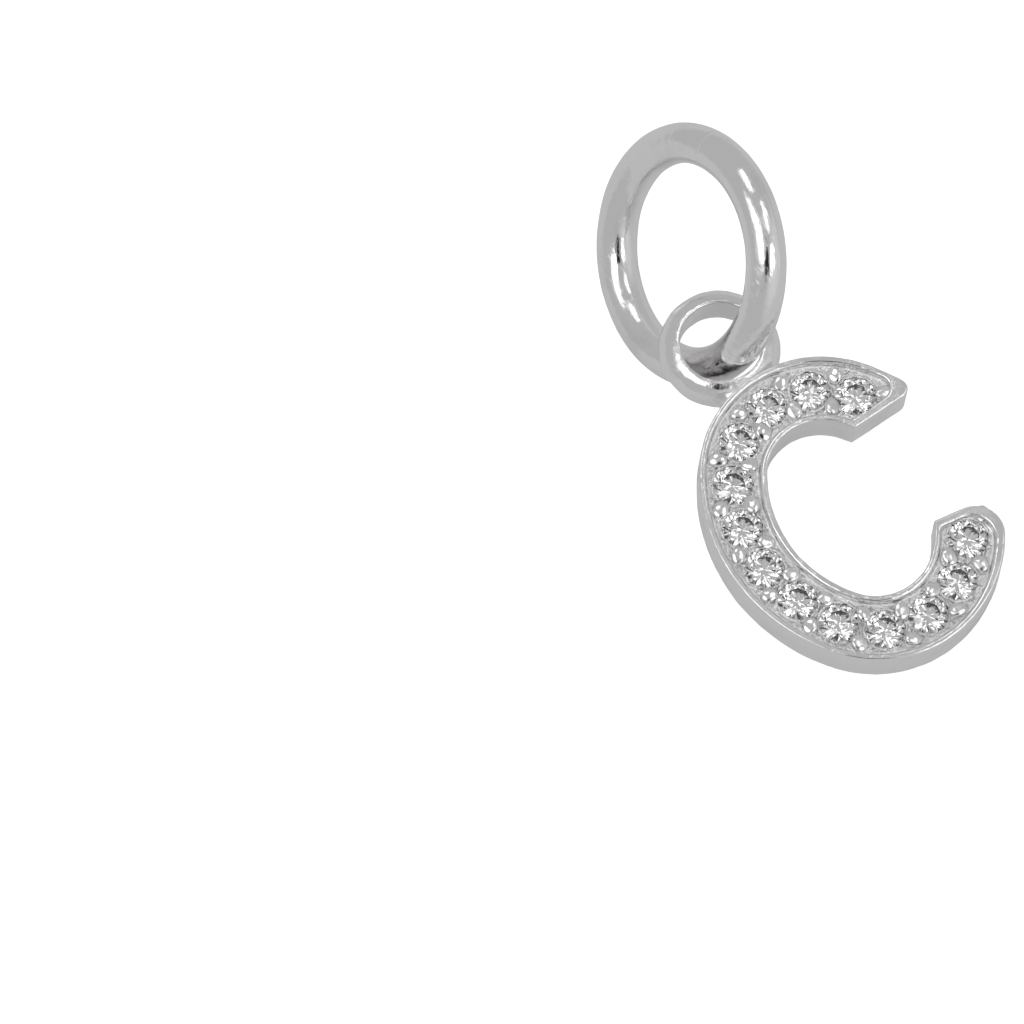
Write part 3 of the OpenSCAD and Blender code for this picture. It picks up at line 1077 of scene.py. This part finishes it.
@dataclass
class Letter:
    """The cast C: worn back edge, walls, polished rim, sunk rough floor, seats, grains and loop."""

    plan: Plan
    thick: float = 1.3
    floor_depth: float = 0.2
    back_round: float = 0.26
    rim_round: float = 0.05
    lip_round: float = 0.07
    foot_round: float = 0.05
    flat_gap: float = 0.005
    girdle_h: float = 0.03
    stone_r: float = 0.5
    play: float = 0.015
    pavilion: float = 0.43
    floor_pitch: float = 0.0325
    floor_scatter: float = 0.35
    floor_clear: float = 0.5
    floor_rough: float = 0.02
    back_steps: int = 9
    wall_shares: tuple[float, ...] = (0.33, 0.66)
    rim_steps: int = 8
    lip_steps: int = 5
    foot_steps: int = 4
    seat_steps: int = 96
    seat_point: float = 0.001
    seat_over: float = 0.3
    sharp: float = 40.0
    worn: Worn = ((0.9, 0.012), (0.22, 0.006), (0.09, 0.0035))
    seed: int = 11

    def __post_init__(self) -> None:
        """Works out the heights."""
        self.floor_z = self.thick - self.floor_depth

    @staticmethod
    def _bend(count: int) -> list[tuple[float, float]]:
        """Sine and cosine of even steps through a right angle."""
        return [(math.sin(t), math.cos(t)) for t in np.linspace(0, math.pi / 2, count)]

    def rings(self) -> list[tuple[Points, float]]:
        """The outlines and heights of the skin, from the back round the wall and rim down to the floor.

        Returns:
            The outline and height of each ring.
        """
        wall, recess = self.plan.wall, self.plan.recess
        b, r, lip, foot = self.back_round, self.rim_round, self.lip_round, self.foot_round
        rings = [(wall(b + self.flat_gap), 0.0)]
        rings += [(wall(b - b * s), b - b * c) for s, c in self._bend(self.back_steps)]
        rings += [(wall(0), b + (self.thick - r - b) * t) for t in self.wall_shares]
        rings += [(wall(r - r * c), self.thick - r + r * s) for s, c in self._bend(self.rim_steps)]
        rings += [(wall(r + self.flat_gap), self.thick), (recess(-lip - self.flat_gap), self.thick)]
        rings += [(recess(lip * (s - 1)), self.thick - lip + lip * c) for s, c in self._bend(self.lip_steps)]
        low = self.floor_z + foot
        rings += [(recess(foot - foot * c), low - foot * s) for s, c in self._bend(self.foot_steps)]
        rings += [(recess(foot + self.flat_gap), self.floor_z)]
        return rings

    @staticmethod
    def _fill(loop: Points, inner: Points) -> tuple[list[Vector], list[list[int]]]:
        """Triangles inside a closed loop, through more points inside it.

        Args:
            loop: the points of the loop.
            inner: the points inside it.

        Returns:
            All points and the triangles between them.
        """
        flat = [Vector(p) for p in (*loop, *inner)]
        only_inside = 1
        verts, _, faces, *_ = delaunay_2d_cdt(flat, [], [list(range(len(loop)))], only_inside, TINY)
        return verts, faces

    def _floor_points(self, loop: Points, rng: np.random.Generator) -> Points:
        """Scattered points inside the floor's outline, clear of its edge.

        Args:
            loop: the floor's outline.
            rng: draws the scatter.

        Returns:
            Points, n by 2.
        """
        low, high = loop.min(0), loop.max(0)
        xs, ys = (np.arange(a, b, self.floor_pitch) for a, b in zip(low, high))
        points = np.stack(np.meshgrid(xs, ys), -1).reshape(-1, 2)
        scatter = self.floor_scatter
        points = points + rng.uniform(-scatter, scatter, points.shape) * self.floor_pitch
        hits = np.zeros(len(points), bool)
        far = np.full(len(points), np.inf)
        for a, b in zip(loop, np.roll(loop, -1, axis=0)):
            far = np.minimum(far, np.hypot(*(points - a).T))
            above = (a[1] > points[:, 1]) != (b[1] > points[:, 1])
            if above.any():
                cross = a[0] + (points[:, 1] - a[1]) * (b[0] - a[0]) / (b[1] - a[1])
                hits ^= above & (points[:, 0] < cross)
        return points[hits & (far > self.floor_clear * self.floor_pitch)]

    def shell(self) -> Thing:
        """Builds the closed skin of the bare C.

        Returns:
            The bare C, in the letter's frame.
        """
        rings = self.rings()
        count = len(rings[0][0])
        verts = [np.column_stack([outline, np.full(count, z)]) for outline, z in rings]
        faces: list[Sequence[int]] = []
        slots: list[int] = []
        floor_from = len(rings) - self.foot_steps - 1
        for k in range(len(rings) - 1):
            faces += bridge(k * count, (k + 1) * count, count)
            slots += [Facing.FLOOR if k >= floor_from else Facing.POLISHED] * count
        rng = np.random.default_rng(self.seed)
        for first, z, up in ((0, 0.0, False), ((len(rings) - 1) * count, self.floor_z, True)):
            loop = rings[-1 if up else 0][0]
            inner = self._floor_points(loop, rng) if up else np.zeros((0, 2))
            flat, cap = self._fill(loop, inner)
            start = sum(map(len, verts))
            number = [first + i if i < count else start + i - count for i in range(len(flat))]
            extra = np.array([(p.x, p.y, z) for p in flat[count:]]).reshape(-1, 3)
            extra[:, 2] += rng.normal(0, self.floor_rough, len(extra)) if up else 0
            verts.append(extra)
            faces += [[number[i] for i in (f if up else f[::-1])] for f in cap]
            slots += [Facing.FLOOR if up else Facing.POLISHED] * len(cap)
        mesh = new_mesh("letter_cast", np.concatenate(verts), faces, slots)
        hand_worn(mesh, self.worn)
        return new_object("letter_cast", mesh)

    def seats(self) -> Thing:
        """Builds the cutter for all the seats.

        Returns:
            The cutter, in the letter's frame.
        """
        bore = self.stone_r + self.play
        ledge = self.floor_z - self.girdle_h - self.play
        tip = ledge - self.pavilion - self.play
        top = self.thick + self.seat_over
        profile = [(0, tip), (self.play, tip + self.seat_point), (bore, ledge), (bore, top), (0, top)]
        part, part_faces = lathe(profile, self.seat_steps)
        verts, faces = [], []
        for i in range(1, self.plan.stone_count + 1):
            faces += [[v + len(part) * (i - 1) for v in f] for f in part_faces]
            verts.append(part + [*self.plan.spot(i), 0])
        slots = [Facing.SEAT] * len(faces)
        return new_object("seats", new_mesh("seats", np.concatenate(verts), faces, slots))

    def build(self, finishes: dict[Facing, bpy.types.Material]) -> Thing:
        """Builds the whole casting and lays it down.

        Args:
            finishes: the material of each place.

        Returns:
            The letter, in metres, as it lies.
        """
        thing = self.shell()
        seats, loop = self.seats(), Loop(self.plan).build()
        for part in (thing, seats, loop):
            for finish in finishes.values():
                part.data.materials.append(finish)
        grains = Beads(self.plan).build(self.floor_z, finishes[Facing.BEAD])
        collars = Burrs(self.plan).build(self.floor_z, finishes[Facing.FLOOR])
        for tool, how in ((seats, "DIFFERENCE"), (grains, "UNION"), (collars, "UNION"), (loop, "UNION")):
            combined(thing, tool, how)
        thing.data.set_sharp_from_angle(angle=math.radians(self.sharp))
        thing.data.transform(LIE.to_table())
        return thing


@dataclass
class Brilliant:
    """A round brilliant, with table, star, kite, upper and lower facets, set by hand in its seat."""

    plan: Plan
    diameter: float = 1.0
    table_share: float = 0.56
    crown: float = 0.15
    girdle: float = 0.03
    pavilion: float = 0.43
    lower_share: float = 0.25
    tilt: float = 3.5
    least_tilt: float = 0.3
    sides: int = 8

    def _ring(self, count: int, r: float, z: float, first: float = 0.0) -> Points:
        """Even points round the axis, the first one turned by a share of a step."""
        angles = (np.arange(count) + first) * math.tau / count
        return np.stack([r * np.cos(angles), r * np.sin(angles), np.full(count, z)], 1)

    def shape(self) -> tuple[Points, list[list[int]]]:
        """Works out the facets.

        Returns:
            Points with the lower edge of the girdle on z = 0, and faces.
        """
        n, r = self.sides, self.diameter / 2
        half = math.cos(math.pi / n)
        table, lower = r * self.table_share, r * self.lower_share
        star = (table + r) / 2
        star_z = self.girdle + self.crown * (r - star * half) / (r - table)
        lower_z = -self.pavilion * (1 - lower * half / r)
        points = np.concatenate([
            self._ring(n, table, self.girdle + self.crown), self._ring(n, star, star_z, 0.5),
            self._ring(2 * n, r, self.girdle), self._ring(2 * n, r, 0.0),
            self._ring(n, lower, lower_z, 0.5), [[0, 0, -self.pavilion]],
        ])
        faces = [list(range(n))]
        for k in range(n):
            now, after, before = n + k, (k + 1) % n, n + (k - 1) % n
            edge = [2 * n + (2 * k + j) % (2 * n) for j in range(3)]
            under = [4 * n + (2 * k + j) % (2 * n) for j in range(3)]
            low, low_before = 6 * n + k, 6 * n + (k - 1) % n
            faces += [[k, now, after], [before, edge[0], now, k]]
            faces += [[now, edge[0], edge[1]], [now, edge[1], edge[2]]]
            faces += [[edge[0], under[0], under[1], edge[1]], [edge[1], under[1], under[2], edge[2]]]
            faces += [[under[0], low, under[1]], [under[1], low, under[2]]]
            faces.append([under[0], low_before, 7 * n, low])
        return points, faces

    def build(
        self, number: int, base_z: float, rng: np.random.Generator, finish: bpy.types.Material
    ) -> Thing:
        """Builds one stone and sets it in its seat with a small turn and tilt of its own.

        Args:
            number: its place in the row, from 1.
            base_z: height of the lower edge of its girdle.
            rng: draws the turn and the tilt.
            finish: its material.

        Returns:
            The stone, in metres, as it lies.
        """
        points, faces = self.shape()
        name = f"brilliant_{number:02d}"
        mesh = new_mesh(name, points, faces)
        mesh.polygons.foreach_set("use_smooth", [False] * len(mesh.polygons))
        mesh.materials.append(finish)
        middle = self.plan.spot(number)
        spin, way = rng.uniform(0, math.tau, 2)
        tilt = math.radians(self.tilt * rng.uniform(self.least_tilt, 1.0))
        axis = Vector((math.cos(way), math.sin(way), 0))
        turn = Matrix.Rotation(tilt, 4, axis) @ Matrix.Rotation(spin, 4, "Z")
        mesh.transform(LIE.to_table() @ Matrix.Translation((*middle, base_z)) @ turn)
        return new_object(name, mesh)


@dataclass
class JumpRing:
    """The round wire ring, grown along a circle, with its fine joint."""

    outer_d: float = 6.52
    wire: float = 1.0
    tilt: float = 57.7
    turn: float = 165.4
    middle: tuple[float, float, float] = (0.725711, 7.60088, 0.91)
    joint_at: float = 221.0
    joint_w: float = 0.045
    joint_depth: float = 0.012
    joint_span: tuple[float, float] = (0.1, 0.9)
    around: int = 900
    across: int = 64
    worn: Worn = ((0.7, 0.008), (0.18, 0.0025))
    worn_seed: float = 5.0

    def tree(self) -> bpy.types.NodeTree:
        """Builds the node tree that sweeps the wire round its circle and pinches it at the joint.

        Returns:
            The node tree.
        """
        inputs = {
            "Base": "Geometry", "Ring radius": (self.outer_d - self.wire) / 2, "Wire radius": self.wire / 2,
            "Joint place": self.joint_at / 360, "Joint width": self.joint_w, "Joint depth": self.joint_depth,
            "Finish": "Material",
        }
        tree, given, out = new_group("wire_round_circle", "GeometryNodeTree", inputs, {"Wire": "Geometry"})
        spline = tree.add("GeometryNodeSplineParameter").outputs
        path = tree.noted(tree.circle(self.around, given["Ring radius"]), "along", spline["Length"])
        profile = tree.noted(tree.circle(self.across, given["Wire radius"]), "across", spline["Length"])
        away = tree.math("ABSOLUTE", tree.math("SUBTRACT", spline["Factor"], given["Joint place"]))
        length = tree.math("MULTIPLY", given["Ring radius"], math.tau)
        near = tree.math("DIVIDE", tree.math("MULTIPLY", away, length), given["Joint width"])
        pinch = tree.math("MULTIPLY", tree.ramp(near, self.joint_span, (1, 0)), given["Joint depth"])
        scale = tree.math("SUBTRACT", 1.0, tree.math("DIVIDE", pinch, given["Wire radius"]))
        swept = tree.add("GeometryNodeCurveToMesh", Curve=path, Profile_Curve=profile, Scale=scale)
        real = tree.add("GeometryNodeRealizeInstances", Geometry=swept.outputs[0])
        along, across = (tree.math("MULTIPLY", tree.read(name), MM) for name in ("along", "across"))
        place = tree.add("ShaderNodeCombineXYZ", X=along, Y=across).outputs[0]
        mesh = tree.noted(real.outputs[0], "wire_place", place, "FLOAT_VECTOR")
        tree.dressed(mesh, given["Finish"], out)
        return tree.tree

    def build(self, finish: bpy.types.Material) -> Thing:
        """Builds the ring and lays it down.

        Args:
            finish: its material.

        Returns:
            The ring, in metres, as it lies.
        """
        empty = new_object("ring_wire", new_mesh("ring_wire", np.zeros((0, 3)), []))
        thing = grown(empty, self.tree(), finish)
        hand_worn(thing.data, self.worn, self.worn_seed)
        turn, tilt = math.radians(self.turn), math.radians(self.tilt)
        pose = Matrix.Translation(self.middle) @ Matrix.Rotation(turn, 4, "Z") @ Matrix.Rotation(tilt, 4, "Y")
        thing.data.transform(LIE.to_table() @ pose)
        return thing


@dataclass(frozen=True)
class Patch:
    """A soft bright or dark patch of the studio, seen from the pendant."""

    azimuth: float
    elevation: float
    half_width: float
    half_height: float
    light: float
    soft: float = 0.5


@dataclass
class Studio:
    """White floor, pale tent of light and the camera."""

    pixels_per_mm: float = 41.0
    image: int = 1024
    letter_pixel: tuple[float, float] = (845.9, 525.4)
    azimuth: float = -44.9
    elevation: float = 70.0
    roll: float = 10.0
    lens: float = 600.0
    sensor: float = 36.0
    tent: float = 0.48
    darkest: float = 0.02
    floor_half: float = 0.5
    floor_white: float = 0.4
    floor_rough: float = 0.9
    floor_glow: tuple[float, float] = (0.27, 0.92)
    patches: tuple[Patch, ...] = (
        Patch(156.0, 67.0, 11.0, 9.0, 1.4, 0.4),
        Patch(-86.0, 60.0, 22.0, 14.0, 1.5, 0.5),
        Patch(18.0, 39.0, 13.0, 11.0, 1.4, 0.4),
        Patch(25.0, 22.0, 40.0, 26.0, 0.17, 0.8),
        Patch(60.0, 60.0, 13.0, 9.0, 1.2, 0.5),
        Patch(-22.0, 53.0, 13.0, 12.0, -1.6, 0.3),
    )

    def camera(self) -> None:
        """Sets the camera at the photograph's angle, framed as the photograph is."""
        roll = math.radians(self.roll)
        back, right = direction(self.azimuth, self.elevation), direction(self.azimuth + 90, 0)
        side = math.cos(roll) * right + math.sin(roll) * back.cross(right)
        top = back.cross(side)
        across, down = ((self.image / 2 - v) / self.pixels_per_mm for v in self.letter_pixel)
        distance = self.image * self.lens / (self.sensor * self.pixels_per_mm)
        pose = Matrix((side, top, back)).transposed().to_4x4()
        pose.translation = side * across - top * down + back * distance
        pose = Matrix.Translation(Vector(LIE.shift)) @ LIE.turn() @ pose
        pose.translation = pose.translation * MM
        data = bpy.data.cameras.new("camera")
        data.lens, data.sensor_width = self.lens, self.sensor
        camera = bpy.data.objects.new("camera", data)
        camera.matrix_world = pose
        bpy.context.scene.collection.objects.link(camera)
        bpy.context.scene.camera = camera

    def light(self) -> None:
        """Builds the tent of light as the world."""
        world = bpy.data.worlds.new("tent")
        world.use_nodes = True
        bpy.context.scene.world = world
        tree = Tree(world.node_tree)
        sky = tree.add("ShaderNodeTexCoord").outputs["Generated"]
        total: object = self.tent
        for patch in self.patches:
            middle, level = direction(patch.azimuth, patch.elevation), direction(patch.azimuth + 90, 0)
            squares = []
            for axis, half in ((level, patch.half_width), (middle.cross(level), patch.half_height)):
                share = tree.math("DIVIDE", tree.dot(sky, axis), math.sin(math.radians(half)))
                squares.append(tree.math("MULTIPLY", share, share))
            mask = tree.ramp(tree.math("ADD", *squares), (1 - patch.soft, 1 + patch.soft), (1, 0))
            mask = tree.math("MULTIPLY", mask, tree.math("GREATER_THAN", tree.dot(sky, middle), 0.0))
            total = tree.math("ADD", total, tree.math("MULTIPLY", mask, patch.light))
        background = world.node_tree.nodes["Background"]
        tree.feed(background, "Color", WHITE)
        tree.feed(background, "Strength", tree.math("MAXIMUM", total, self.darkest))

    def floor(self) -> None:
        """Lays the white floor."""
        corners = self.floor_half * np.array([(-1, -1, 0), (1, -1, 0), (1, 1, 0), (-1, 1, 0)])
        thing = new_object("floor", new_mesh("floor", corners, [range(len(corners))]))
        material, tree, paper = new_material("white_floor")
        tree.feed(paper, "Base Color", (*[self.floor_white] * 3, 1))
        tree.feed(paper, "Roughness", self.floor_rough)
        tree.feed(paper, "Specular IOR Level", 0.0)
        seen = tree.add("ShaderNodeLightPath").outputs["Is Camera Ray"]
        glow = tree.add("ShaderNodeEmission", Color=WHITE, Strength=tree.ramp(seen, (0, 1), self.floor_glow))
        both = tree.add("ShaderNodeAddShader", i0=paper.outputs[0], i1=glow.outputs[0])
        tree.feed(material.node_tree.nodes["Material Output"], "Surface", both.outputs[0])
        thing.data.materials.append(material)

    def build(self) -> None:
        """Builds the studio."""
        self.camera()
        self.light()
        self.floor()
        bpy.context.scene.view_settings.view_transform = "Standard"


@dataclass
class Pendant:
    """The whole pendant: casting, ring and stones."""

    plan: Plan = field(default_factory=Plan)
    seed: int = 21

    @staticmethod
    def report(thing: Thing) -> None:
        """Writes a piece's name and size to the log."""
        LOG.info("%s: %d faces", thing.name, len(thing.data.polygons))

    def build(self) -> None:
        """Builds and dresses every piece."""
        marks = Handling().group()
        polished = Silver("polished_silver", marks).material()
        finishes = {
            Facing.POLISHED: polished,
            Facing.FLOOR: Silver("grained_silver", marks, smooth=0.1, dull=0.23, grit=38.0).material(),
            Facing.BEAD: Silver("bead_silver", marks, smooth=0.05, dull=0.12, grit=3.0).material(),
            # The seats' silver is painted darker than the rest of the letter (0.6, and 0.12 where the tarnish
            # noise falls). This is painted shade under the stones, which they show as dark facets. The
            # tarnish noise still varies it at random.
            Facing.SEAT: Silver(
                "seat_silver_painted_shade", marks, clean=(0.6, 0.595, 0.6, 1), worn=(0.12, 0.118, 0.12, 1),
                smooth=0.25, dull=0.4, grit=8.0,
            ).material(),
        }
        casting = Letter(self.plan)
        letter = casting.build(finishes)
        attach(letter, BODY)
        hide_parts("letter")
        self.report(letter)
        drawn = Silver(
            "drawn_silver", marks, smooth=0.05, dull=0.12, grit=5.0,
            grit_from="wire_place", grit_scale=(5500.0, 26000.0, 1.0),
        )
        ring = JumpRing().build(drawn.material())
        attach(ring, BODY)
        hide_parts("jump_ring")
        self.report(ring)
        gem = ClearStone().material()
        rng = np.random.default_rng(self.seed)
        cut = Brilliant(self.plan)
        for number in range(1, self.plan.stone_count + 1):
            stone = cut.build(number, casting.floor_z - casting.girdle_h, rng, gem)
            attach(stone, BODY)
            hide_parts(f"stone_{number:02d}")
            self.report(stone)


def main() -> None:
    """Builds the studio and the pendant."""
    logging.basicConfig(level=logging.INFO, format="%(name)s: %(message)s")
    Studio().build()
    Pendant().build()


if __name__ == "__main__":
    main()
